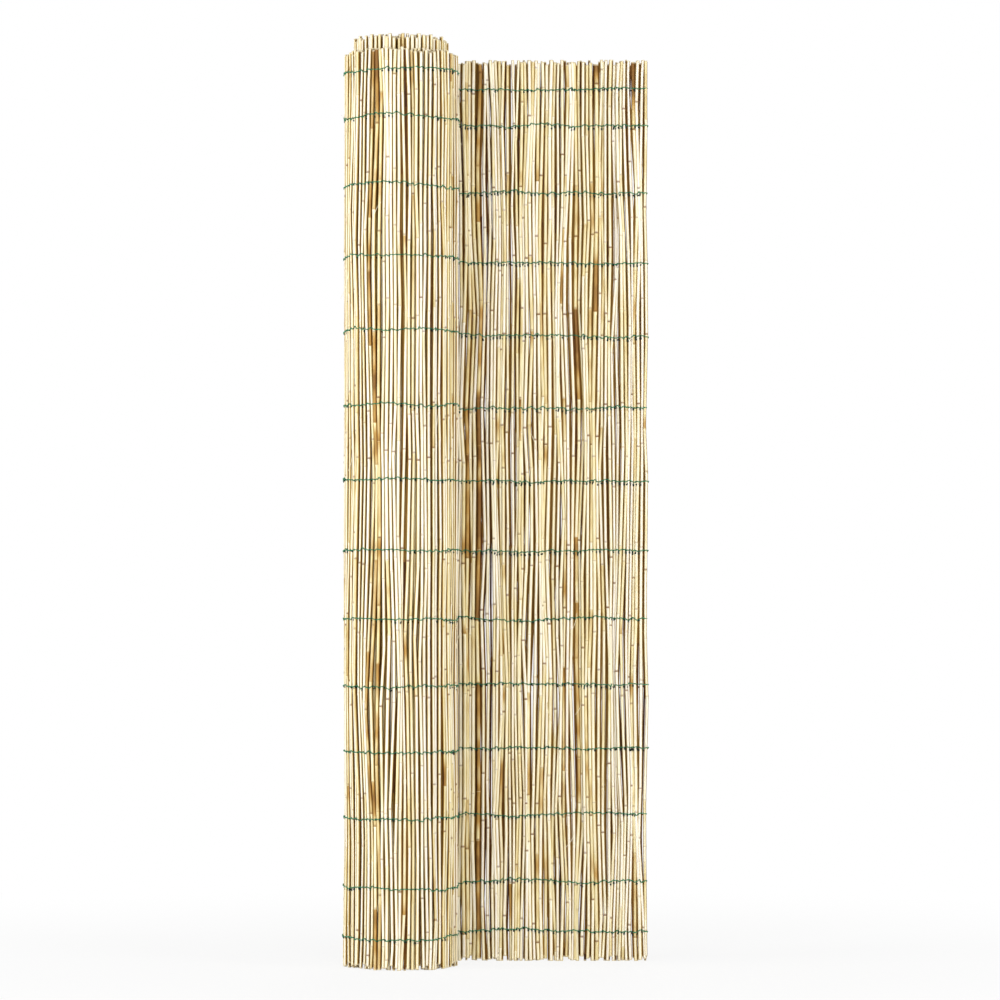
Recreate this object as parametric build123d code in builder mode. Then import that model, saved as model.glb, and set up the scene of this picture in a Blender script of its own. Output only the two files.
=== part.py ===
from build123d import *

import os
from math import cos, floor, pi, radians, sin

# Peeled reed screening: a mat of reeds bound side by side with rows of wire.
# One end is still rolled up, the other stands open as a flat screen along +X.
# Both stand on the cut ends of the reeds. Millimetres, +Z up, with the origin
# in the middle of the footprint, on the floor.

# Reeds
reed_length = 1500.0  # the longest reeds, and so the height of the screen
reed_diameter = 6.3  # mean thickness of a reed
diameter_spread = 0.7  # the thickest and the thinnest reeds differ from the mean by this much
reed_grades = 4  # different thicknesses of reed
reed_sides = 8  # flats round a reed
reed_bite = 0.25  # how far bound neighbours press into each other
ragged_ends = 9.0  # the shortest reeds end this far short, at the foot and at the head
end_levels = 5  # different levels at which the reeds end
handful = 4  # reeds laid together, whose ends lie level

# Roll
roll_diameter = 189.0  # across the outermost reeds
core_diameter = 36.0  # the hollow that the innermost turn leaves
turn_gap = 0.8  # free space between one turn and the next
level_turns = 2  # outer turns that stand level with the open screen
core_rise = 24.0  # the turns inside those have slid up by this much

# Open screen
screen_width = 405.0  # from where the mat leaves the roll to its free edge
seam_gap = 0.3  # clearance between the open screen and the roll
slit_width = 1.6  # daylight between two reeds that don't touch
slit_share = 0.07  # share of the joints between reeds that show such a slit
slit_margin = 14.0  # a slit stops this far from a row of wire

# Binding wire
wire_thickness = 1.6
wire_seat = 0.15  # clearance between the wire and the thickest reeds
wire_rows = 14
row_inset = 50.0  # first and last row to the ends of the longest reeds
edge_row_step = 70.0  # the outermost two rows at each end are set closer together
row_drift = 12.0  # how far the rows wander off an even spacing
drift_rows = 10  # rows from one crest of that wander to the next
chords_per_half_turn = 10  # straight lengths of wire round half the roll
tucked_chords = 2  # the wire goes in between roll and screen this many lengths short of a turn

# Places that follow from the sizes above
crest = (reed_diameter + diameter_spread) / 2  # middle of the mat to the face of its thickest reeds
turn_pitch = 2 * crest + turn_gap
mat_radius = roll_diameter / 2 - crest  # middle of the mat in the outermost half turn
half_turns = floor((mat_radius - core_diameter / 2 - crest) / (turn_pitch / 2)) + 1
roll_axis_x = (roll_diameter / 2 - screen_width) / 2
edge_reed_x = roll_axis_x + screen_width - crest
golden_share = (5**0.5 - 1) / 2  # spreads the reeds' differences evenly, with no pattern


def scatter(index, turns):
    """An even spread of values from 0 to 1."""
    return (index * golden_share * turns) % 1


def reed_grade(index):
    return floor(reed_grades * scatter(index, 7))


def grade_radius(grade):
    return reed_diameter / 2 + diameter_spread * (grade / (reed_grades - 1) - 0.5)


def end_level(index):
    return floor(end_levels * scatter(index // handful, 3))


def foot_height(level):
    return ragged_ends * level / (end_levels - 1)


def head_height(level):
    return reed_length - ragged_ends * ((2 * level + 1) % end_levels) / (end_levels - 1)


def reed_stations(start, end, first_index):
    """Reeds packed along the mat, from the side of the first to the middle of the last, with their indexes."""
    first_reed = start + grade_radius(reed_grade(first_index))
    stations = [(0.0, first_index)]
    while stations[-1][0] < end - first_reed:
        distance, index = stations[-1]
        step = grade_radius(reed_grade(index)) + grade_radius(reed_grade(index + 1)) - reed_bite
        stations.append((distance + step, index + 1))
    squeeze = (end - first_reed) / stations[-1][0]
    return [(first_reed + distance * squeeze, index) for distance, index in stations]


def half_turn_centre(half_turn):
    return (roll_axis_x, -turn_pitch / 2 * (half_turn % 2))


def half_turn_radius(half_turn):
    return mat_radius - turn_pitch / 2 * half_turn


def half_turn_start(half_turn):
    """The angle at which the mat enters a half turn, from the back of the roll round its left side."""
    return 90.0 + 180.0 * half_turn


def on_roll(half_turn, angle, radius):
    centre_x, centre_y = half_turn_centre(half_turn)
    return (centre_x + radius * cos(radians(angle)), centre_y + radius * sin(radians(angle)))


def on_outer_turn(distance):
    """A reed's place on the outermost turn, with its X along the mat."""
    half_turn = 0
    if distance > pi * half_turn_radius(0):
        half_turn = 1
        distance -= pi * half_turn_radius(0)
    radius = half_turn_radius(half_turn)
    angle = half_turn_start(half_turn) + distance / radius * 180 / pi
    return Location((*on_roll(half_turn, angle, radius), 0), (0, 0, angle + 90))


def on_open_screen(distance):
    return Location((roll_axis_x + distance, mat_radius, 0), (0, 0, 0))


def row_height(row):
    """Height of a row of wire: close pairs at the ends, the others even but for a slow wander."""
    if row == 0:
        return row_inset
    if row == wire_rows - 1:
        return reed_length - row_inset
    first = row_inset + edge_row_step
    spacing = (reed_length - 2 * first) / (wire_rows - 3)
    return first + spacing * (row - 1) + row_drift * cos(2 * pi * (row - 1) / drift_rows)


def add_reeds(stations, place):
    """Stand reeds along the mat, one extrusion for each level at which reeds end."""
    for level in range(end_levels):
        with BuildSketch(Plane.XY.offset(foot_height(level))) as feet:
            for grade in range(reed_grades):
                places = [place(d) for d, i in stations if end_level(i) == level and reed_grade(i) == grade]
                if places:
                    with Locations(*places):
                        RegularPolygon(grade_radius(grade), reed_sides, False, 180 / reed_sides)
        if feet.sketch:
            extrude(feet.sketch, amount=head_height(level) - foot_height(level))


def wire_line(out):
    """One side of a wire in plan: round the roll, behind the screen, round its edge and back in front."""
    reach = crest + wire_seat + out
    chord = 180 / chords_per_half_turn
    chords = 2 * chords_per_half_turn - tucked_chords
    tuck_angle = half_turn_start(0) + chord * chords
    tuck = on_roll(1, tuck_angle, half_turn_radius(1) + reach)
    points = [tuck]
    for corner in reversed(range(chords)):
        half_turn = corner // chords_per_half_turn
        corner_radius = (half_turn_radius(half_turn) + reach) / cos(radians(chord / 2))
        points.append(on_roll(half_turn, half_turn_start(0) + chord * (corner + 0.5), corner_radius))
    flat = 360 / reed_sides
    for corner in range(reed_sides // 2):
        angle = radians(90 - flat * (corner + 0.5))
        corner_reach = reach / cos(radians(flat / 2))
        points.append((edge_reed_x + corner_reach * cos(angle), mat_radius + corner_reach * sin(angle)))
    points.append((tuck[0], mat_radius - reach))
    return points


# Open screen: one wall of reeds, with slits of daylight between the rows of wire
screen_reeds = reed_stations(seam_gap / 2, screen_width - crest, 0)
with BuildPart() as reed_screen:
    add_reeds(screen_reeds, on_open_screen)
    for bay in range(wire_rows - 1):
        slit_places = []
        for (distance, index), (next_distance, _) in zip(screen_reeds[1:], screen_reeds[2:-1]):
            if (scatter(index, 5) + scatter(bay, 3)) % 1 < slit_share:
                slit_places.append((roll_axis_x + (distance + next_distance) / 2, mat_radius))
        slit_foot = row_height(bay) + slit_margin
        with BuildSketch(Plane.XY.offset(slit_foot)):
            with Locations(*slit_places):
                Rectangle(slit_width, 2 * crest)
        extrude(amount=row_height(bay + 1) - slit_margin - slit_foot, mode=Mode.SUBTRACT)

# Roll: the inner turns wound on as one strip, the outermost turn reed by reed
outer_turn_length = pi * (half_turn_radius(0) + half_turn_radius(1))
roll_reeds = reed_stations(seam_gap / 2, outer_turn_length, len(screen_reeds))
with BuildPart() as reed_roll:
    for half_turn in range(2, half_turns):
        rise = 0.0 if half_turn < 2 * level_turns else core_rise
        with BuildSketch(Plane.XY.offset(rise)):
            with BuildLine():
                centre = half_turn_centre(half_turn)
                start = half_turn_start(half_turn)
                outer_side = CenterArc(centre, half_turn_radius(half_turn) + reed_diameter / 2, start, 180)
                inner_side = CenterArc(centre, half_turn_radius(half_turn) - reed_diameter / 2, start, 180)
                Line(outer_side @ 0, inner_side @ 0)
                Line(outer_side @ 1, inner_side @ 1)
            make_face()
        extrude(amount=reed_length)
    add_reeds(roll_reeds, on_outer_turn)

# Binding wires: each doubled round the edge reed of the open screen
binding_wires = []
for row in range(wire_rows):
    with BuildPart() as binding_wire:
        with BuildSketch(Plane.XY.offset(row_height(row) - wire_thickness / 2)):
            with BuildLine():
                Polyline(*wire_line(0.0), *reversed(wire_line(wire_thickness)), close=True)
            make_face()
        extrude(amount=wire_thickness)
    binding_wire.part.label = f"binding_wire_{row + 1:02d}"
    binding_wires.append(binding_wire.part)

reed_screen.part.label = "reed_screen"
reed_roll.part.label = "reed_roll"

os.makedirs("parts", exist_ok=True)
for piece in (reed_screen.part, reed_roll.part, *binding_wires):
    export_step(piece, f"parts/{piece.label}.step")
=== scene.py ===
import random
from collections import namedtuple
from math import cos, pi, radians, sin

import bpy
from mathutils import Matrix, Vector


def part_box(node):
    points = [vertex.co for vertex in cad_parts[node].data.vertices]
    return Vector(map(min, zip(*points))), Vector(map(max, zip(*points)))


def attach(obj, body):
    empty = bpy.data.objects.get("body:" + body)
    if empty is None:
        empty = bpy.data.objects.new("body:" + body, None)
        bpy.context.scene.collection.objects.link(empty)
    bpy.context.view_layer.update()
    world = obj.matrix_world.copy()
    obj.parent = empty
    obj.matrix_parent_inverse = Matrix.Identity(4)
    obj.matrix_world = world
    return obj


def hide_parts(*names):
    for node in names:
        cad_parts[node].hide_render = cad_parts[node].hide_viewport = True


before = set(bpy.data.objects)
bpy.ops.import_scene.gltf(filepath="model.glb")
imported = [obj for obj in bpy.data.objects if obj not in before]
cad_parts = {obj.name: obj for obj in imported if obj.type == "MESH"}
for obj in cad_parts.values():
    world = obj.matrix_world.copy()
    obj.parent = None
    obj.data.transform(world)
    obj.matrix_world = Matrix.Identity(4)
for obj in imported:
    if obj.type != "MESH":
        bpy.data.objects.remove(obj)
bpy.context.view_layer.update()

bl_info = {
    "name": "Peeled reed screening",
    "version": (1, 0, 0),
    "blender": (4, 5, 0),
    "location": "View3D > Sidebar > Reed screening",
    "description": "Grows the reeds, binding wires and frayed fibres of a half unrolled reed screen",
    "category": "Object",
}

# Places of the mat, from the parts of model.glb: the open screen along X, the roll round an upright axis at y
# = 0
SCREEN_LOW, SCREEN_HIGH = (Vector(corner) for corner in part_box("reed_screen"))
ROLL_LOW, ROLL_HIGH = (Vector(corner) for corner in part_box("reed_roll"))
MAT_Y = (SCREEN_LOW.y + SCREEN_HIGH.y) / 2
MAT_HALF_THICKNESS = (SCREEN_HIGH.y - SCREEN_LOW.y) / 2
ROLL_X = ROLL_LOW.x + MAT_Y + MAT_HALF_THICKNESS
EDGE_X = SCREEN_HIGH.x
REED_LENGTH = SCREEN_HIGH.z
CORE_RISE = ROLL_HIGH.z - SCREEN_HIGH.z
WIRE_NODES = sorted(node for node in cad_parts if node.startswith("binding_wire"))

UP = Vector((0, 0, 1))
SEED = 14

# How one reed differs from the next
SIDE_CHANGES = 0.75  # how often a reed stands on the other side of the mat's middle than the one before
STAGGER_SHARES = (0.2, 1.0)  # of the stagger
SLIM_SHARES = (0.8, 1.2)  # of the slim reeds' thickness
END_MARGINS = (0.01, 0.13)  # metres from the ends to the nearest joints
JOINT_STRAY = 0.22  # internodes that a joint strays from an even spacing
JOINT_PHASE = 2.4  # radians of that stray from one joint to the next
TAPER = 0.16  # share of the thickness lost or won along a reed
THICK_TONES = (0.36, 1.2, 0.72)  # lowest, highest and most usual, from brown at 0.1 to nearly white at 1
SLIM_TONES = (0.3, 0.7)
INTERNODE_TONE = 0.22  # how far one internode strays from its reed's tone
INTERNODE_NUMBERS = 64.0  # set aside for each reed, so that no two internodes share one
CORNER_WIDTH = 0.055  # metres of the open screen beside the roll, where many reeds are painted browner as shade from the roll
CORNER_SHARE, CORNER_PAINTED_SHADE = 0.55, 0.3  # how many reeds there, and how much tone they lose as painted shade
REED_SIDES = 10
INNER_SIDES = 8  # of the reeds that show only at their ends
REED_ATTRIBUTES = ("tone", "joint_mark", "cut", "flank")

# How the wires lie
WIRE_SIDES = 6
DRAWN_IN = 0.35  # share of the way to the mat's middle, between two reeds
DRAWN_THROUGH = 1.35  # further, where the hidden strand shows between them
REED_CLEARANCE = 1.06  # of a reed's radius, where a wire lies on it
LOOP_CLOSING = 0.0013  # metres by which the sides of a loop come together
DOUBLED = 0.7  # further thickness where a strand lies in a crevice
SLOW_REACH, REED_REACH = 0.14, 0.009  # metres along the mat, of slow noise and of noise from reed to reed
ROW_STEP = 3.0  # moves the noise on from row to row
SHOWN_SLOWLY, SHOWN_HERE = 0.3, 0.7  # parts of both noises in where the hidden strand shows
SHOWN_ON_ROLL = -0.06  # what the roll adds to them
SHOWN_FROM, SHOWN_FULLY = 0.46, 0.5
HANG_LEAST, HANG_MOST = -0.3, -1.0  # of the slack
FRONT_CREVICE_SHADE, HIDDEN_CREVICE_SHADE = 0.4, 0.6  # painted shade in a crevice, on any strand, and further on the hidden one

# Peeled fibres
FIBRE_SIDES = 5
FIBRE_THINNING = -0.6  # of the thickness, from root to tip
FIBRE_TONES = (0.5, 1.0)


def linear(hex_colour):
    """An sRGB hex colour as the linear colour that a shader takes."""
    channels = [int(hex_colour[place : place + 2], 16) / 255 for place in (1, 3, 5)]
    return [c / 12.92 if c <= 0.04045 else ((c + 0.055) / 1.055) ** 2.4 for c in channels]


def length(name, description, default):
    """A setting in metres."""
    return bpy.props.FloatProperty(name=name, description=description, default=default, unit="LENGTH")


def share(name, description, default):
    """A setting without a unit."""
    return bpy.props.FloatProperty(name=name, description=description, default=default)


def amount(name, description, default):
    """A setting that counts."""
    return bpy.props.IntProperty(name=name, description=description, default=default)


def colour(name, description, hex_colour):
    """A setting that is a colour."""
    return bpy.props.FloatVectorProperty(
        name=name, description=description, subtype="COLOR", default=linear(hex_colour)
    )


class ReedSettings(bpy.types.PropertyGroup):
    """Sizes and colours of the reeds."""

    thickness: length("Thickness", "Most usual thickness of a reed", 0.0058)
    thinnest: length("Thinnest", "Thickness of the thinnest reeds", 0.0046)
    thickest: length("Thickest", "Thickness of the thickest reeds", 0.0074)
    slim: length("Slim", "Thickness of the slim reeds caught between the others", 0.0037)
    setback: length("Setback", "How far the slim reeds lie behind the others", 0.0014)
    nesting: share("Nesting", "Spacing round a slim reed as a share of the thicknesses", 0.64)
    crowding: share("Crowding", "Spacing of neighbours as a share of their thickness", 0.88)
    stagger: length("Stagger", "How far reeds stand before or behind the mat's middle", 0.0018)
    ragged: length("Ragged ends", "How unevenly the reeds end", 0.009)
    bow: length("Bow", "How far one reed bends by itself", 0.006)
    sway: length("Sway", "How far neighbouring reeds lean together", 0.026)
    joints: amount("Joints", "Rings along a reed where leaves grew", 12)
    ivory: colour("Ivory", "Palest peeled skin", "#fbf6dc")
    straw: colour("Straw", "Usual skin", "#ecdfac")
    brown: colour("Brown", "Weathered skin", "#7a5224")


class RollSettings(bpy.types.PropertyGroup):
    """How the mat is wound up."""

    turn_pitch: length("Turn pitch", "From one turn to the next", 0.0078)
    slim_share: share("Slim share", "How often reeds of the roll leave room for a slim one", 0.8)
    lost_share: share("Lost share", "How many of those slim reeds are missing", 0.7)
    nesting: share("Nesting", "Spacing round a slim reed as a share of the thicknesses", 0.75)
    core: length("Core", "Width of the hollow in the middle", 0.036)
    level_turns: amount("Level turns", "Outer turns that have not slid up", 2)


class WireSettings(bpy.types.PropertyGroup):
    """Sizes and colour of the binding wires."""

    thickness: length("Thickness", "Of the coated wire", 0.0016)
    wander: length("Wander", "How far a row strays up and down", 0.026)
    jitter: length("Jitter", "How far it strays from reed to reed", 0.016)
    slack: length("Slack", "How far a strand hangs behind the reeds", 0.0045)
    loop: length("Loop", "Half the height of the loops that show between reeds", 0.0012)
    climb: length("Climb", "How much higher the top row lies on the roll", 0.015)
    green: colour("Green", "Coating", "#22704a")


class FibreSettings(bpy.types.PropertyGroup):
    """Fibres that have peeled off the reeds."""

    count: amount("Count", "Peeled fibres in all", 26)
    shortest: length("Shortest", "Length of the shortest fibres", 0.018)
    longest: length("Longest", "Length of the longest fibres", 0.045)
    thickness: length("Thickness", "Of a fibre at its root", 0.0011)
    peel: length("Peel", "How far a fibre's tip stands off the reeds", 0.007)
    slant: share("Slant", "How far a tip strays aside, as a share of the length", 0.7)


class StageSettings(bpy.types.PropertyGroup):
    """Camera, lamps and floor."""

    azimuth: bpy.props.FloatProperty(
        name="Azimuth",
        description="Of the camera, round the object from its front",
        default=radians(1.0),
        subtype="ANGLE",
    )
    distance: length("Distance", "From the camera to the screen", 6.9)
    eye_height: length("Eye height", "Of the camera above the floor", 0.64)
    aim_height: length("Aim height", "Of the point in the middle of the picture", 0.764)
    aim_x: length("Aim X", "Of the point in the middle of the picture", 0.0058)
    view_height: length("View height", "What the picture takes in at that distance", 1.643)
    white: colour("White", "Floor", "#f4f4f4")


Reed = namedtuple(
    "Reed",
    "number run slim point outward sheltered half_turn thick foot head first internode taper shade",
)


def mat_place(distance, turn_pitch):
    """A point in the middle of the mat, the direction out of the roll there, and the half turn it is in."""
    run = distance - (EDGE_X - ROLL_X)
    if run < 0:
        return Vector((ROLL_X - run, MAT_Y, 0)), Vector((0, 1, 0)), -1
    half_turn = 0
    radius = MAT_Y
    while run > pi * radius:
        run -= pi * radius
        half_turn += 1
        radius -= turn_pitch / 2
    angle = pi / 2 + pi * half_turn + run / radius
    outward = Vector((cos(angle), sin(angle), 0))
    centre = Vector((ROLL_X, -turn_pitch / 2 * (half_turn % 2), 0))
    return centre + outward * radius, outward, half_turn


def mat_reeds():
    """Every reed of the mat, side by side from the free edge to the innermost turn."""
    reeds_are = bpy.context.scene.reeds
    roll_is = bpy.context.scene.reed_roll
    thicknesses = (reeds_are.thinnest, reeds_are.thickest, reeds_are.thickness)
    last_half_turn = int((MAT_Y - MAT_HALF_THICKNESS - roll_is.core / 2) / (roll_is.turn_pitch / 2))
    draw = random.Random(SEED)
    reeds = []
    side = 1
    slim = False
    thick = draw.triangular(*thicknesses) / 2
    distance = thick
    while True:
        point, outward, half_turn = mat_place(distance, roll_is.turn_pitch)
        if half_turn > last_half_turn:
            return reeds
        on_screen = half_turn < 0
        side = -side if draw.random() < SIDE_CHANGES else side
        stagger = side * draw.uniform(*STAGGER_SHARES) * reeds_are.stagger
        behind = outward if on_screen else -outward
        place = point + (behind * reeds_are.setback if slim else outward * stagger)
        rise = CORE_RISE if half_turn >= 2 * roll_is.level_turns else 0.0
        foot = rise + reeds_are.ragged * draw.random() ** 2
        head = rise + REED_LENGTH - reeds_are.ragged * draw.random()
        first = draw.uniform(*END_MARGINS)
        internode = (head - foot - first - draw.uniform(*END_MARGINS)) / (reeds_are.joints - 1)
        taper = draw.uniform(-TAPER, TAPER)
        shade = draw.triangular(*THICK_TONES)
        shade = draw.uniform(*SLIM_TONES) if slim else shade
        # Painted shade: many reeds beside the roll are made browner, deepening the roll's shadow on the open
        # screen
        in_corner = on_screen and place.x < ROLL_X + MAT_Y + CORNER_WIDTH
        shade -= CORNER_PAINTED_SHADE if in_corner and draw.random() < CORNER_SHARE else 0.0
        reed = Reed(
            number=len(reeds),
            run=distance,
            slim=slim,
            point=place,
            outward=outward,
            sheltered=-behind if slim else Vector(),
            half_turn=half_turn,
            thick=thick,
            foot=foot,
            head=head,
            first=first,
            internode=internode,
            taper=taper,
            shade=shade,
        )
        if not (slim and not on_screen and draw.random() < roll_is.lost_share):
            reeds.append(reed)
        was_slim, slim = slim, not slim and (on_screen or draw.random() < roll_is.slim_share)
        following = draw.triangular(*thicknesses) / 2
        if slim:
            following = reeds_are.slim / 2 * draw.uniform(*SLIM_SHARES)
        nestled = reeds_are.crowding
        if slim or was_slim:
            nestled = reeds_are.nesting if on_screen else roll_is.nesting
        distance += (thick + following) * nestled
        thick = following


def add_node(tree, kind, feeds=None, **settings):
    """Add a node to a tree: settings are its properties, feeds its inputs, each a value or another socket."""
    node = tree.nodes.new(kind)
    for name, value in settings.items():
        setattr(node, name, value)
    for key, value in (feeds or {}).items():
        if isinstance(value, bpy.types.NodeSocket):
            tree.links.new(value, node.inputs[key])
        else:
            node.inputs[key].default_value = value
    return node


def calculate(tree, operation, *values):
    """Add one step of arithmetic to a tree and give its result."""
    return add_node(tree, "ShaderNodeMath", dict(enumerate(values)), operation=operation).outputs[0]


def vector(tree, operation, first, second):
    """Add one step of arithmetic with vectors to a tree and give its result."""
    feeds = {0: first, "Scale" if operation == "SCALE" else 1: second}
    node = add_node(tree, "ShaderNodeVectorMath", feeds, operation=operation)
    return node.outputs["Value" if operation == "DOT_PRODUCT" else "Vector"]


def combine(tree, x=0.0, y=0.0, z=0.0):
    """A vector from three numbers."""
    return add_node(tree, "ShaderNodeCombineXYZ", {0: x, 1: y, 2: z}).outputs[0]


def separate(tree, value):
    """The three numbers of a vector."""
    return add_node(tree, "ShaderNodeSeparateXYZ", {0: value}).outputs


def spread(tree, value, low, high, to_low=0.0, to_high=1.0):
    """Map a value from one range to another, and no further."""
    feeds = {0: value, 1: low, 2: high, 3: to_low, 4: to_high}
    return add_node(tree, "ShaderNodeMapRange", feeds).outputs[0]


def noise(tree, spot, detail, scale=1.0):
    """Smooth noise round a half: a number, and three numbers as a colour."""
    return add_node(tree, "ShaderNodeTexNoise", {"Vector": spot, "Scale": scale, "Detail": detail}).outputs


def mix_colours(tree, part, first, second, blend="MIX"):
    """Two colours mixed."""
    feeds = {0: part, 6: first, 7: second}
    return add_node(tree, "ShaderNodeMix", feeds, data_type="RGBA", blend_type=blend).outputs[2]


def colour_ramp(tree, value, *stops):
    """A colour for each value, from pairs of a value and its colour in rising order."""
    node = add_node(tree, "ShaderNodeValToRGB", {0: value})
    elements = node.color_ramp.elements
    for place, _ in stops[1:-1]:
        elements.new(place)
    for element, (place, shown) in zip(elements, stops):
        element.position = place
        element.color = (*shown, 1)
    return node.outputs[0]


def paint(hex_colour):
    """An sRGB hex colour for a colour socket."""
    return (*linear(hex_colour), 1)


def new_tree(name, **sockets):
    """A geometry node tree with its named inputs, and the node that holds them."""
    tree = bpy.data.node_groups.new(name, "GeometryNodeTree")
    tree.interface.new_socket("Geometry", in_out="INPUT", socket_type="NodeSocketGeometry")
    for socket, kind in sockets.items():
        tree.interface.new_socket(socket.replace("_", " "), in_out="INPUT", socket_type=f"NodeSocket{kind}")
    tree.interface.new_socket("Geometry", in_out="OUTPUT", socket_type="NodeSocketGeometry")
    return tree, tree.nodes.new("NodeGroupInput")


def named_attributes(tree, **kinds):
    """Attributes of the points by name, from the names of each kind."""
    return {
        name: add_node(tree, "GeometryNodeInputNamedAttribute", {"Name": name}, data_type=kind).outputs[0]
        for kind, names in kinds.items()
        for name in names
    }


def store(tree, geometry, name, value, kind="FLOAT"):
    """Keep a value on the points as a named attribute."""
    feeds = {"Geometry": geometry, "Name": name, "Value": value}
    return add_node(tree, "GeometryNodeStoreNamedAttribute", feeds, data_type=kind).outputs[0]


def sweep(tree, curve, thickness, sides, scale):
    """A round section swept along a curve."""
    radius = calculate(tree, "MULTIPLY", thickness, 0.5)
    section = add_node(tree, "GeometryNodeCurvePrimitiveCircle", {"Resolution": sides, "Radius": radius})
    feeds = {"Curve": curve, "Profile Curve": section.outputs[0], "Scale": scale, "Fill Caps": True}
    return add_node(tree, "GeometryNodeCurveToMesh", feeds).outputs[0]


def finish_tree(tree, given, geometry, smooth=True):
    """End a tree with smooth shading, real geometry and the material."""
    shaded = add_node(tree, "GeometryNodeSetShadeSmooth", {0: geometry, 1: smooth})
    solid = add_node(tree, "GeometryNodeRealizeInstances", {0: shaded.outputs[0]})
    feeds = {"Geometry": solid.outputs[0], "Material": given.outputs["Material"]}
    painted = add_node(tree, "GeometryNodeSetMaterial", feeds)
    add_node(tree, "NodeGroupOutput", {0: painted.outputs[0]})


def mesh_with(name, points, edges=(), faces=(), **attributes):
    """A mesh whose points carry named attributes."""
    mesh = bpy.data.meshes.new(name)
    mesh.from_pydata([tuple(point) for point in points], edges, faces)
    for attribute, values in attributes.items():
        if isinstance(values[0], (tuple, Vector)):
            layer = mesh.attributes.new(attribute, "FLOAT_VECTOR", "POINT")
            layer.data.foreach_set("vector", [number for value in values for number in value])
        else:
            kind = "INT" if isinstance(values[0], int) else "FLOAT"
            layer = mesh.attributes.new(attribute, kind, "POINT")
            layer.data.foreach_set("value", values)
    return mesh


def grow(name, start_mesh, tree, keep, **inputs):
    """Run a tree over a mesh of start points and keep what grows as one plain mesh."""
    start = bpy.data.objects.new(f"{name}_start", start_mesh)
    bpy.context.scene.collection.objects.link(start)
    modifier = start.modifiers.new("grow", "NODES")
    modifier.node_group = tree
    for socket in tree.interface.items_tree:
        given_as = socket.name.replace(" ", "_")
        if socket.in_out == "INPUT" and given_as in inputs:
            modifier[socket.identifier] = inputs[given_as]
    graph = bpy.context.evaluated_depsgraph_get()
    grown = start.evaluated_get(graph)
    mesh = bpy.data.meshes.new_from_object(grown, preserve_all_data_layers=True, depsgraph=graph)
    mesh.name = name
    bpy.data.objects.remove(start)
    if not mesh.polygons:
        raise RuntimeError(f"nothing grew for {name}")
    kept = (*keep, "sharp_face", "material_index")
    for attribute in [layer.name for layer in mesh.attributes]:
        layer = mesh.attributes[attribute]
        if attribute not in kept and not layer.is_internal and not layer.is_required:
            mesh.attributes.remove(layer)
    piece = bpy.data.objects.new(name, mesh)
    bpy.context.scene.collection.objects.link(piece)
    return piece


def reed_pattern(sides, joints):
    """One reed as a stack of rings: hollow cut ends, and at each joint a swollen ring.

    A ring's place is given by what it is anchored to: the foot or the head, the first joint, and a number of
    internodes above that, and then by its own rise. Its girth comes next, then whether it is a joint's scar
    and whether it is a cut face, and the number of its internode.
    """
    foot, head = (0.0, 0.0, 0.0), (1.0, 0.0, 0.0)
    bore, rim, bore_depth, bleached = 0.56, 0.96, 0.018, 0.003

    # At a joint, from below: rise, girth, scar, and how many internodes further on
    joint_rings = (
        (-0.006, 0.99, 0.0, 0),
        (-0.001, 1.09, 0.0, 0),
        (0.0007, 1.12, 1.0, 1),
        (0.005, 1.01, 0.0, 1),
    )
    rings = [
        (foot, bore_depth, bore, 0.0, 1.0, 0),
        (foot, 0.0, bore, 0.0, 1.0, 0),
        (foot, 0.0, rim, 0.0, 1.0, 0),
        (foot, bleached, 1.0, 0.0, 0.0, 0),
    ]
    for joint in range(joints):
        uneven = JOINT_STRAY * sin(JOINT_PHASE * joint) if 0 < joint < joints - 1 else 0.0
        at_joint = (0.0, 1.0, joint + uneven)
        rings += [(at_joint, rise, girth, scar, 0.0, joint + past) for rise, girth, scar, past in joint_rings]
    rings += [
        (head, -bleached, 1.0, 0.0, 0.0, joints),
        (head, 0.0, rim, 0.0, 1.0, joints),
        (head, 0.0, bore, 0.0, 1.0, joints),
        (head, -bore_depth, bore, 0.0, 1.0, joints),
    ]
    circle = [Vector((cos(2 * pi * k / sides), sin(2 * pi * k / sides), 0)) for k in range(sides)]
    faces = [list(reversed(range(sides))), [(len(rings) - 1) * sides + k for k in range(sides)]]
    for ring in range(len(rings) - 1):
        for k in range(sides):
            here, beside = ring * sides + k, ring * sides + (k + 1) % sides
            faces.append((here, beside, beside + sides, here + sides))
    names = ("anchor", "rise", "girth", "joint_mark", "cut", "stretch")
    columns = {name: [ring[place] for ring in rings for _ in circle] for place, name in enumerate(names)}
    mesh = mesh_with("reed_pattern", circle * len(rings), (), faces, **columns)
    pattern = bpy.data.objects.new("reed_pattern", mesh)
    bpy.context.scene.collection.objects.link(pattern)
    return pattern


def add_lean(tree, given, number, outward, height):
    """Add the way that a reed leans at a height: together with its neighbours, and a little by itself."""
    through_share = 0.25  # of the lean, out of the mat or into it
    shifts = []
    for size, reeds_wide, reach in (("Sway", 8.0, 0.33), ("Bow", 0.13, 0.17)):
        across = calculate(tree, "DIVIDE", number, reeds_wide)
        spot = combine(tree, across, calculate(tree, "DIVIDE", height, reach), given.outputs["Seed"])
        stray = vector(tree, "SUBTRACT", noise(tree, spot, 1.0)[1], (0.5, 0.5, 0.5))
        shifts.append(vector(tree, "SCALE", stray, given.outputs[size]))
    sideways, through, _ = separate(tree, vector(tree, "ADD", *shifts))
    along = vector(tree, "CROSS_PRODUCT", UP, outward)
    leant = vector(tree, "SCALE", along, sideways)
    pushed = vector(tree, "SCALE", outward, calculate(tree, "MULTIPLY", through, through_share))
    return vector(tree, "ADD", leant, pushed)


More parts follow.
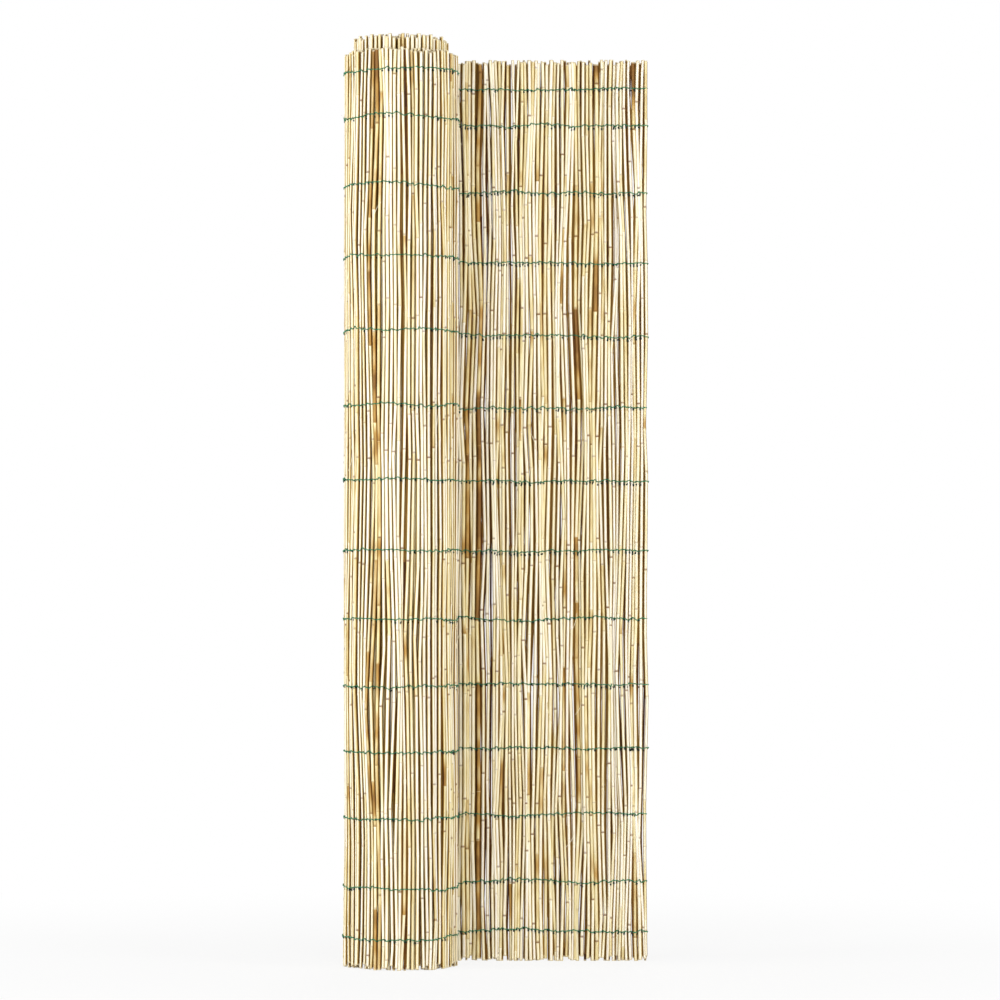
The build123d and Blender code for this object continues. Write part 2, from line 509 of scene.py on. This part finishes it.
def reed_tree():
    """Stands a copy of the pattern on each start point and gives each its own thickness, bow and tones."""
    tree, given = new_tree(
        "reeds_side_by_side", Pattern="Object", Bow="Float", Sway="Float", Seed="Int", Material="Material"
    )
    own = named_attributes(
        tree,
        FLOAT=("rise", "girth", "cut", "thick", "foot", "head", "first", "internode", "taper", "shade"),
        FLOAT_VECTOR=("anchor", "station", "outward", "sheltered"),
        INT=("stretch", "number"),
    )
    position = add_node(tree, "GeometryNodeInputPosition").outputs[0]
    stations = store(tree, given.outputs["Geometry"], "station", position, "FLOAT_VECTOR")
    pattern = add_node(tree, "GeometryNodeObjectInfo", {"Object": given.outputs["Pattern"]})
    feeds = {"Points": stations, "Instance": pattern.outputs["Geometry"]}
    copies = add_node(tree, "GeometryNodeInstanceOnPoints", feeds)
    loose = add_node(tree, "GeometryNodeRealizeInstances", {0: copies.outputs[0]}).outputs[0]

    # Height of a ring: foot or head, then joints, then its own rise
    at_head, at_joint, internodes = separate(tree, own["anchor"])
    end = add_node(tree, "ShaderNodeMix", {0: at_head, 2: own["foot"], 3: own["head"]}).outputs[0]
    joint = calculate(tree, "MULTIPLY_ADD", own["first"], at_joint, end)
    above = calculate(tree, "MULTIPLY_ADD", own["internode"], internodes, joint)
    height = calculate(tree, "ADD", above, own["rise"])

    # Thickness of a ring: reeds thin out towards one end
    middle = calculate(tree, "SUBTRACT", calculate(tree, "DIVIDE", height, REED_LENGTH), 0.5)
    thinned = calculate(tree, "MULTIPLY_ADD", middle, own["taper"], 1.0)
    swollen = calculate(tree, "MULTIPLY", thinned, own["girth"])
    radius = calculate(tree, "MULTIPLY", swollen, own["thick"])
    spoke = vector(tree, "SUBTRACT", position, own["station"])
    ring = vector(tree, "SCALE", spoke, radius)

    lean = add_lean(tree, given, own["number"], own["outward"], height)
    place = own["station"]
    for shift in (ring, lean, combine(tree, z=height)):
        place = vector(tree, "ADD", place, shift)

    # Flank: 1 where the skin faces the neighbouring reeds, or the groove that a slim reed lies in; it places
    # the painted shade between reeds
    along = vector(tree, "CROSS_PRODUCT", UP, own["outward"])
    beside = calculate(tree, "ABSOLUTE", vector(tree, "DOT_PRODUCT", spoke, along))
    groove = vector(tree, "DOT_PRODUCT", spoke, own["sheltered"])
    flanked = store(tree, loose, "flank", calculate(tree, "MAXIMUM", beside, groove))

    # Tone: each reed has its own, and each internode strays from it
    internode = calculate(tree, "MULTIPLY_ADD", own["number"], INTERNODE_NUMBERS, own["stretch"])
    feeds = {2: -INTERNODE_TONE, 3: INTERNODE_TONE, "ID": internode, "Seed": given.outputs["Seed"]}
    chance = add_node(tree, "FunctionNodeRandomValue", feeds, data_type="FLOAT").outputs[1]
    toned = store(tree, flanked, "tone", calculate(tree, "ADD", own["shade"], chance))
    stood = add_node(tree, "GeometryNodeSetPosition", {"Geometry": toned, "Position": place}).outputs[0]
    skin = add_node(tree, "FunctionNodeCompare", {0: own["cut"], 1: 0.9}, operation="LESS_THAN").outputs[0]
    finish_tree(tree, given, stood, skin)
    return tree


def grow_reeds(name, reeds, sides, joints):
    """Grow one group of reeds as a piece."""
    settings = bpy.context.scene.reeds
    pattern = reed_pattern(sides, joints)
    numbers = ("number", "thick", "foot", "head", "first", "internode", "taper", "shade")
    directions = ("outward", "sheltered")
    columns = {field: [getattr(reed, field) for reed in reeds] for field in (*numbers, *directions)}
    piece = grow(
        name,
        mesh_with(f"{name}_start", [reed.point for reed in reeds], **columns),
        reed_tree(),
        REED_ATTRIBUTES,
        Pattern=pattern,
        Bow=settings.bow,
        Sway=settings.sway,
        Seed=SEED,
        Material=peeled_reed(),
    )
    bpy.data.objects.remove(pattern)
    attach(piece, "root")
    return piece


def new_material(name):
    """A node material, its tree and its shader, or the one already made."""
    material = bpy.data.materials.get(name)
    if material:
        return material, None, None
    material = bpy.data.materials.new(name)
    material.use_nodes = True
    return material, material.node_tree, material.node_tree.nodes["Principled BSDF"]


def peeled_reed():
    """Dry common reed, stripped of its leaf sheaths: a hard satin skin from ivory to weathered brown.

    The eye sees fine lengthwise fibres, tone that changes at a joint, a dark scar round each joint, painted
    shade in the grooves between neighbours and pale, dull cut ends.
    """
    material, tree, shader = new_material("peeled_reed_dry_skin")
    if not tree:
        return material
    settings = bpy.context.scene.reeds
    spot = add_node(tree, "ShaderNodeTexCoord").outputs["Object"]
    marks = {
        name: add_node(tree, "ShaderNodeAttribute", attribute_name=name).outputs["Fac"]
        for name in REED_ATTRIBUTES
    }

    # Along each reed blotches about 50 mm and brown stretches about 200 mm long,
    # and fibres drawn about 0.9 mm wide so that they show
    apart = 90.0  # moves the noise on from reed to reed
    fibre_width, fibre_length = 0.0009, 0.05
    height = separate(tree, spot)[2]
    own = calculate(tree, "MULTIPLY", marks["tone"], apart)
    blotch, stain = (
        noise(tree, combine(tree, x=own, z=calculate(tree, "DIVIDE", height, reach)), 1.0)[0]
        for reach in (0.05, 0.2)
    )
    drawn_out = (1 / fibre_width, 1 / fibre_width, 1 / fibre_length)
    grain = add_node(tree, "ShaderNodeMapping", {"Vector": spot, "Scale": drawn_out}).outputs[0]
    fibre = noise(tree, grain, 3.0)[0]

    stray = spread(tree, blotch, 0.25, 0.75, -0.16, 0.16)
    stained = spread(tree, stain, 0.56, 0.74, 0.0, 0.4)
    dark = calculate(tree, "SUBTRACT", calculate(tree, "ADD", marks["tone"], stray), stained)
    skin = colour_ramp(
        tree,
        calculate(tree, "MAXIMUM", dark, 0.1),
        (0.10, settings.brown),
        (0.25, linear("#bb9350")),
        (0.42, settings.straw),
        (0.72, settings.ivory),
        (1.0, linear("#fbf7ea")),
    )
    streak = spread(tree, fibre, 0.3, 0.6, 0.4, 0.0)
    fibred = mix_colours(tree, streak, skin, paint("#b0925c"))
    # Painted shade: the skin darkens to near-black brown where it faces a neighbour or lies in a groove
    painted_groove_shade = colour_ramp(
        tree,
        marks["flank"],
        (0.48, (1, 1, 1)),
        (0.68, linear("#dcc691")),
        (0.87, linear("#957538")),
        (0.98, linear("#4e2c0a")),
    )
    groove_shaded = mix_colours(tree, 1.0, fibred, painted_groove_shade, "MULTIPLY")

    # Scars show on some joints more than on others
    rough = spread(tree, blotch, 0.44, 0.62, 0.15, 1.0)
    scar = spread(tree, calculate(tree, "MULTIPLY", marks["joint_mark"], rough), 0.1, 0.8, 0.0, 0.9)
    scarred = mix_colours(tree, scar, groove_shaded, paint("#7a522c"))
    ended = mix_colours(tree, marks["cut"], scarred, paint("#e6d8b4"))
    tree.links.new(ended, shader.inputs["Base Color"])
    tree.links.new(spread(tree, fibre, 0.3, 0.7, 0.62, 0.42), shader.inputs["Roughness"])
    shader.inputs["Specular IOR Level"].default_value = 0.12
    bump = add_node(tree, "ShaderNodeBump", {"Strength": 0.35, "Distance": 0.0003, "Height": fibre})
    tree.links.new(bump.outputs[0], shader.inputs["Normal"])
    return material


def coated_wire():
    """Steel wire drawn through green vinyl: a smooth, slightly waxy coat.

    The eye sees it paler where it was rubbed and nearly black where it dips between two reeds, which is
    painted shade.
    """
    material, tree, shader = new_material("vinyl_coated_wire")
    if not tree:
        return material
    rub_size = 0.012
    spot = add_node(tree, "ShaderNodeTexCoord").outputs["Object"]
    worn = spread(tree, noise(tree, spot, 3.0, 1 / rub_size)[0], 0.4, 0.75, 0.0, 0.6)
    coat = mix_colours(tree, worn, (*bpy.context.scene.reed_wires.green, 1), paint("#58a27c"))
    # Painted shade: the coat goes near-black where the wire dips into a crevice between reeds
    dip = add_node(tree, "ShaderNodeAttribute", attribute_name="dip").outputs["Fac"]
    crevice_shaded = mix_colours(tree, spread(tree, dip, 0.05, 0.35, 0.0, 0.97), coat, paint("#0a1510"))
    tree.links.new(crevice_shaded, shader.inputs["Base Color"])
    shader.inputs["Roughness"].default_value = 0.55
    shader.inputs["Specular IOR Level"].default_value = 0.2
    return material


def strand_tree():
    """Lays a wire along its start points: over each reed, and drawn in between it and the next."""
    sizes = ("Row_height", "Thickness", "Wander", "Jitter", "Slack", "Loop", "Climb", "Bow", "Sway", "Row")
    sockets = dict.fromkeys(sizes, "Float")
    tree, given = new_tree("binding_strands", **sockets, Seed="Int", Material="Material")
    own = named_attributes(
        tree,
        FLOAT=("thick", "cover", "behind", "tight", "rolled", "run", "dip"),
        FLOAT_VECTOR=("outward", "face"),
        INT=("number",),
    )
    lean = add_lean(tree, given, own["number"], own["outward"], given.outputs["Row height"])
    feeds = {"Geometry": given.outputs["Geometry"], "Offset": lean}
    leaning = add_node(tree, "GeometryNodeSetPosition", feeds)
    line = add_node(tree, "GeometryNodeMeshToCurve", {0: leaning.outputs[0]})
    fine = add_node(tree, "GeometryNodeSubdivideCurve", {"Curve": line.outputs[0], "Cuts": 3})

    # Noise along the mat, slow and from reed to reed: how the row strays, where its hidden strand hangs
    # lower, and where that one shows
    noises = []
    for reach in (SLOW_REACH, REED_REACH):
        spot = combine(tree, calculate(tree, "DIVIDE", own["run"], reach), given.outputs["Row"])
        noises.append(separate(tree, noise(tree, spot, 2.0)[1]))
    (stray, loose, shows), (uneven, _, shows_here) = noises

    # Every fourth point lies on a reed. The one half way to the next reed is drawn in, and where the hidden
    # strand shows, the points beside it are drawn in too and make an upright loop in front of the crevice
    index = add_node(tree, "GeometryNodeSplineParameter").outputs["Index"]
    quarter = calculate(tree, "MULTIPLY", index, pi / 2)
    half_way = calculate(tree, "MULTIPLY", calculate(tree, "COSINE", quarter), -1.0)
    middle = calculate(tree, "MAXIMUM", half_way, 0.0)
    beside = calculate(tree, "SINE", quarter)
    slowly = calculate(tree, "MULTIPLY", shows, SHOWN_SLOWLY)
    showing = calculate(tree, "MULTIPLY_ADD", shows_here, SHOWN_HERE, slowly)
    shown = calculate(tree, "MULTIPLY_ADD", own["rolled"], SHOWN_ON_ROLL, showing)
    gap = spread(tree, shown, SHOWN_FROM, SHOWN_FULLY)
    looped = calculate(tree, "MULTIPLY", calculate(tree, "MULTIPLY", gap, own["behind"]), own["tight"])
    looping = calculate(tree, "MULTIPLY", calculate(tree, "ABSOLUTE", beside), looped)
    dip = calculate(tree, "MAXIMUM", calculate(tree, "MULTIPLY", middle, own["tight"]), looping)
    pull = calculate(tree, "MULTIPLY_ADD", looped, DRAWN_THROUGH, DRAWN_IN)
    left_out = calculate(tree, "SUBTRACT", 1.0, calculate(tree, "MULTIPLY", dip, pull))
    radius = calculate(tree, "MULTIPLY", given.outputs["Thickness"], 0.5)
    reach = calculate(tree, "MULTIPLY_ADD", own["thick"], REED_CLEARANCE, radius)
    over = calculate(tree, "MULTIPLY", calculate(tree, "SUBTRACT", 1.0, dip), own["cover"])
    clear = vector(tree, "SCALE", own["face"], calculate(tree, "MULTIPLY_ADD", reach, left_out, over))
    upright = calculate(tree, "MULTIPLY", beside, looped)
    tangent = add_node(tree, "GeometryNodeInputTangent").outputs[0]
    closed = vector(tree, "SCALE", tangent, calculate(tree, "MULTIPLY", upright, LOOP_CLOSING))

    # Up and down: the row strays slowly and from reed to reed, and its hidden strand hangs lower
    hang = spread(tree, loose, 0.4, 0.6, HANG_LEAST, HANG_MOST)
    level = given.outputs["Row height"]
    for part, size in (
        (calculate(tree, "SUBTRACT", stray, 0.5), "Wander"),
        (calculate(tree, "SUBTRACT", uneven, 0.5), "Jitter"),
        (calculate(tree, "MULTIPLY", hang, own["behind"]), "Slack"),
        (upright, "Loop"),
        (own["rolled"], "Climb"),
    ):
        level = calculate(tree, "MULTIPLY_ADD", part, given.outputs[size], level)
    shift = clear
    for more in (closed, combine(tree, z=level)):
        shift = vector(tree, "ADD", shift, more)
    laid = add_node(tree, "GeometryNodeSetPosition", {"Geometry": fine.outputs[0], "Offset": shift})
    # How dark the painted crevice shade is: some on any strand, more on the hidden one
    crevice_shading = calculate(tree, "MULTIPLY_ADD", own["behind"], HIDDEN_CREVICE_SHADE, FRONT_CREVICE_SHADE)
    dipped = store(tree, laid.outputs[0], "dip", calculate(tree, "MULTIPLY", dip, crevice_shading))
    curved = add_node(tree, "GeometryNodeCurveSplineType", {"Curve": dipped}, spline_type="CATMULL_ROM")
    stepped = add_node(tree, "GeometryNodeSetSplineResolution", {0: curved.outputs[0], "Resolution": 2})
    doubled = calculate(tree, "MULTIPLY_ADD", own["dip"], DOUBLED, 1.0)
    finish_tree(tree, given, sweep(tree, stepped.outputs[0], given.outputs["Thickness"], WIRE_SIDES, doubled))
    return tree


def fibre_tree():
    """Turns lines that start on a reed into fibres that thin out towards their tips."""
    tree, given = new_tree(
        "peeled_fibres", Thickness="Float", Bow="Float", Sway="Float", Seed="Int", Material="Material"
    )
    own = named_attributes(tree, FLOAT=("root_height",), FLOAT_VECTOR=("outward",), INT=("number",))
    lean = add_lean(tree, given, own["number"], own["outward"], own["root_height"])
    feeds = {"Geometry": given.outputs["Geometry"], "Offset": lean}
    leaning = add_node(tree, "GeometryNodeSetPosition", feeds)
    line = add_node(tree, "GeometryNodeMeshToCurve", {0: leaning.outputs[0]})
    way = add_node(tree, "GeometryNodeSplineParameter").outputs["Factor"]
    thinned = calculate(tree, "MULTIPLY_ADD", way, FIBRE_THINNING, 1.0)
    finish_tree(tree, given, sweep(tree, line.outputs[0], given.outputs["Thickness"], FIBRE_SIDES, thinned))
    return tree


class ReedOperator:
    """What the operators share."""

    bl_options = {"REGISTER", "UNDO"}


class OpenScreenOperator(ReedOperator, bpy.types.Operator):
    """Grow the reeds of the open, unrolled stretch"""

    bl_idname = "reed_screening.open_screen"
    bl_label = "Open screen"

    def execute(self, context):
        reeds = [reed for reed in mat_reeds() if reed.half_turn < 0]
        piece = grow_reeds("open_screen_reeds", reeds, REED_SIDES, context.scene.reeds.joints)
        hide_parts("reed_screen")
        return {"FINISHED"}


class OuterTurnOperator(ReedOperator, bpy.types.Operator):
    """Grow the reeds of the roll's outermost turn"""

    bl_idname = "reed_screening.outer_turn"
    bl_label = "Outer turn"

    def execute(self, context):
        reeds = [reed for reed in mat_reeds() if reed.half_turn in (0, 1)]
        piece = grow_reeds("outer_turn_reeds", reeds, REED_SIDES, context.scene.reeds.joints)
        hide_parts("reed_roll")
        return {"FINISHED"}


class InnerTurnsOperator(ReedOperator, bpy.types.Operator):
    """Grow the reeds of the turns inside, which show only at their ends"""

    bl_idname = "reed_screening.inner_turns"
    bl_label = "Inner turns"

    def execute(self, context):
        reeds = [reed for reed in mat_reeds() if reed.half_turn > 1]
        piece = grow_reeds("inner_turn_reeds", reeds, INNER_SIDES, 0)
        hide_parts("reed_roll")
        return {"FINISHED"}


class BindingWiresOperator(ReedOperator, bpy.types.Operator):
    """Lay each row of binding wire round the edge of the open screen and along both sides of the mat"""

    bl_idname = "reed_screening.binding_wires"
    bl_label = "Binding wires"

    def execute(self, context):
        wires = context.scene.reed_wires
        reeds = [reed for reed in mat_reeds() if reed.half_turn < 2 and not reed.slim]
        edge = reeds[0]
        slim_back = MAT_Y + context.scene.reeds.setback + context.scene.reeds.slim / 2
        outer_strand, inner_strand = [], []
        for reed in reeds:
            rolled = float(reed.half_turn >= 0)
            tight = float(reed is not edge)
            cover = 0.0 if rolled else max(0.0, slim_back - reed.point.y - reed.thick)
            outer_strand.append((reed, reed.outward, cover, 1.0 - rolled, tight, rolled))
            inner_strand.append((reed, -reed.outward, 0.0, rolled, tight, rolled))
        route = [*reversed(outer_strand), (edge, Vector((1, 0, 0)), 0.0, 0.0, 0.0, 0.0), *inner_strand]
        stations, faces, cover, behind, tight, rolled = zip(*route)
        tree = strand_tree()
        for row, node in enumerate(WIRE_NODES):
            low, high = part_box(node)
            start = mesh_with(
                f"{node}_start",
                [reed.point for reed in stations],
                [(k, k + 1) for k in range(len(route) - 1)],
                outward=[reed.outward for reed in stations],
                thick=[reed.thick for reed in stations],
                run=[reed.run for reed in stations],
                number=[reed.number for reed in stations],
                face=faces,
                cover=cover,
                behind=behind,
                tight=tight,
                rolled=rolled,
            )
            piece = grow(
                f"{node}_twined",
                start,
                tree,
                ("dip",),
                Row_height=(low[2] + high[2]) / 2,
                Thickness=wires.thickness,
                Wander=wires.wander,
                Jitter=wires.jitter,
                Slack=wires.slack,
                Loop=wires.loop,
                Climb=wires.climb if node == WIRE_NODES[-1] else 0.0,
                Bow=context.scene.reeds.bow,
                Sway=context.scene.reeds.sway,
                Row=row * ROW_STEP,
                Seed=SEED,
                Material=coated_wire(),
            )
            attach(piece, "root")
            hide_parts(node)
        return {"FINISHED"}


class FrayedFibresOperator(ReedOperator, bpy.types.Operator):
    """Grow the few fibres that have peeled off the reeds and stand away from them"""

    bl_idname = "reed_screening.frayed_fibres"
    bl_label = "Frayed fibres"

    def execute(self, context):
        fibres = context.scene.reed_fibres
        draw = random.Random(SEED)
        steps = 7
        columns = {"number": [], "outward": [], "root_height": [], "tone": []}
        points, edges = [], []
        reeds = [reed for reed in mat_reeds() if reed.half_turn < 2 and not reed.slim]
        for reed in draw.sample(reeds, fibres.count):
            face = -reed.outward if reed.half_turn < 0 else reed.outward
            reach = draw.uniform(fibres.shortest, fibres.longest)
            root_height = draw.uniform(reed.foot + reach, reed.head - reach)
            root = reed.point + face * reed.thick + UP * root_height
            rise = UP * reach * draw.choice((-1, 1))
            aside = UP.cross(face) * reach * draw.uniform(-fibres.slant, fibres.slant)
            tone = draw.uniform(*FIBRE_TONES)
            for step in range(steps):
                way = step / (steps - 1)
                if step:
                    edges.append((len(points) - 1, len(points)))
                points.append(root + rise * way + (aside + face * fibres.peel) * way**2)
                for name, value in zip(columns, (reed.number, reed.outward, root_height, tone)):
                    columns[name].append(value)
        piece = grow(
            "frayed_fibres",
            mesh_with("frayed_fibres_start", points, edges, **columns),
            fibre_tree(),
            REED_ATTRIBUTES,
            Thickness=fibres.thickness,
            Bow=context.scene.reeds.bow,
            Sway=context.scene.reeds.sway,
            Seed=SEED,
            Material=peeled_reed(),
        )
        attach(piece, "root")
        return {"FINISHED"}


class StageOperator(ReedOperator, bpy.types.Operator):
    """Set up the floor, the lamps and the camera"""

    bl_idname = "reed_screening.stage"
    bl_label = "Stage"

    def execute(self, context):
        stage = context.scene.reed_stage
        floor_reach = 40.0
        corners = [(x * floor_reach, y * floor_reach, 0) for x, y in ((-1, -1), (1, -1), (1, 1), (-1, 1))]
        floor_mesh = mesh_with("floor", corners, faces=[(0, 1, 2, 3)])
        floor = bpy.data.objects.new("floor", floor_mesh)
        context.scene.collection.objects.link(floor)
        floor_mesh.materials.append(white_floor())
        light_world(context.scene)
        aim = Vector((stage.aim_x, 0, stage.aim_height))
        for name, azimuth, height, size, level in (
            ("key_lamp", -27, 2.6, 1.3, 0.22),
            ("front_lamp", 8, 1.9, 2.4, 0.36),
            ("left_lamp", -70, 1.6, 2.0, 0.58),
            ("right_lamp", 58, 1.7, 2.0, 0.46),
            ("back_lamp", 170, 1.8, 2.4, 0.3),
        ):
            add_lamp(name, radians(azimuth), height, size, level, aim)
        camera_data = bpy.data.cameras.new("camera")
        camera_data.lens = camera_data.sensor_width * stage.distance / stage.view_height
        camera = bpy.data.objects.new("camera", camera_data)
        context.scene.collection.objects.link(camera)
        away = Vector((sin(stage.azimuth), -cos(stage.azimuth), 0))
        camera.location = Vector((stage.aim_x, 0, stage.eye_height)) + away * stage.distance
        camera.rotation_euler = (aim - camera.location).to_track_quat("-Z", "Y").to_euler()
        context.scene.camera = camera
        context.scene.view_settings.view_transform = "Standard"
        return {"FINISHED"}


def seen_directly(tree):
    """1 for what the camera sees, also in a mirror or through glass, and 0 for light on its way."""
    path = add_node(tree, "ShaderNodeLightPath")
    seen = path.outputs["Is Camera Ray"]
    for ray in ("Is Glossy Ray", "Is Transmission Ray"):
        seen = calculate(tree, "MAXIMUM", seen, path.outputs[ray])
    return seen


def white_floor():
    """Matt white paper, overexposed away from the object: it fades to plain white and keeps a soft shadow."""
    material, tree, shader = new_material("matt_white_paper")
    if not tree:
        return material
    shader.inputs["Base Color"].default_value = (*bpy.context.scene.reed_stage.white, 1)
    shader.inputs["Roughness"].default_value = 0.9
    shader.inputs["Specular IOR Level"].default_value = 0.1
    spot = add_node(tree, "ShaderNodeTexCoord").outputs["Object"]
    reach = add_node(tree, "ShaderNodeVectorMath", {0: spot}, operation="LENGTH").outputs["Value"]
    near, far, near_white = 0.3, 1.8, 0.85
    feeds = {0: reach, 1: near, 2: far, 3: near_white, 4: 1.0}
    fade = add_node(tree, "ShaderNodeMapRange", feeds, interpolation_type="SMOOTHSTEP").outputs[0]
    faded = calculate(tree, "MULTIPLY", fade, seen_directly(tree))
    white = add_node(tree, "ShaderNodeEmission", {"Color": (1, 1, 1, 1), "Strength": 1.0})
    mixed = add_node(tree, "ShaderNodeMixShader", {0: faded, 1: shader.outputs[0], 2: white.outputs[0]})
    tree.links.new(mixed.outputs[0], tree.nodes["Material Output"].inputs["Surface"])
    return material


def light_world(scene):
    """Soft white light from all round, which the camera sees as plain white."""
    world = bpy.data.worlds.new("white_studio")
    scene.world = world
    world.use_nodes = True
    tree = world.node_tree
    background = tree.nodes["Background"]
    soft_light = 0.22
    strength = add_node(tree, "ShaderNodeMix", {0: seen_directly(tree), 2: soft_light, 3: 1.0})
    tree.links.new(strength.outputs[0], background.inputs["Strength"])
    background.inputs["Color"].default_value = (1, 1, 1, 1)


def add_lamp(name, azimuth, height, size, level, aim):
    """A soft square lamp that looks at the object; a level of 1 by itself shows white as white."""
    away = 5.5
    place = Vector((aim.x + away * sin(azimuth), aim.y - away * cos(azimuth), height))
    data = bpy.data.lights.new(name, "AREA")
    data.size = size
    data.energy = level * pi**2 * (place - aim).length_squared
    lamp = bpy.data.objects.new(name, data)
    bpy.context.scene.collection.objects.link(lamp)
    lamp.location = place
    lamp.rotation_euler = (aim - place).to_track_quat("-Z", "Y").to_euler()


OPERATORS = (
    OpenScreenOperator,
    OuterTurnOperator,
    InnerTurnsOperator,
    BindingWiresOperator,
    FrayedFibresOperator,
    StageOperator,
)

SETTINGS = {
    "reeds": ReedSettings,
    "reed_roll": RollSettings,
    "reed_wires": WireSettings,
    "reed_fibres": FibreSettings,
    "reed_stage": StageSettings,
}


class ReedScreeningPanel(bpy.types.Panel):
    """Lists the pieces of the screening and their sizes"""

    bl_idname = "VIEW3D_PT_reed_screening"
    bl_label = "Reed screening"
    bl_space_type = "VIEW_3D"
    bl_region_type = "UI"
    bl_category = "Reed screening"

    def draw(self, context):
        for settings in SETTINGS:
            group = getattr(context.scene, settings)
            box = self.layout.box()
            for name in group.__annotations__:
                box.prop(group, name)
        for operator in OPERATORS:
            self.layout.operator(operator.bl_idname)


def register():
    for kind in (*SETTINGS.values(), *OPERATORS, ReedScreeningPanel):
        bpy.utils.register_class(kind)
    for name, kind in SETTINGS.items():
        setattr(bpy.types.Scene, name, bpy.props.PointerProperty(type=kind))


def unregister():
    for name in SETTINGS:
        delattr(bpy.types.Scene, name)
    for kind in (ReedScreeningPanel, *reversed(OPERATORS), *SETTINGS.values()):
        bpy.utils.unregister_class(kind)


def main():
    register()
    bpy.ops.reed_screening.open_screen()
    bpy.ops.reed_screening.outer_turn()
    bpy.ops.reed_screening.inner_turns()
    bpy.ops.reed_screening.binding_wires()
    bpy.ops.reed_screening.frayed_fibres()
    bpy.ops.reed_screening.stage()


if __name__ == "__main__":
    main()
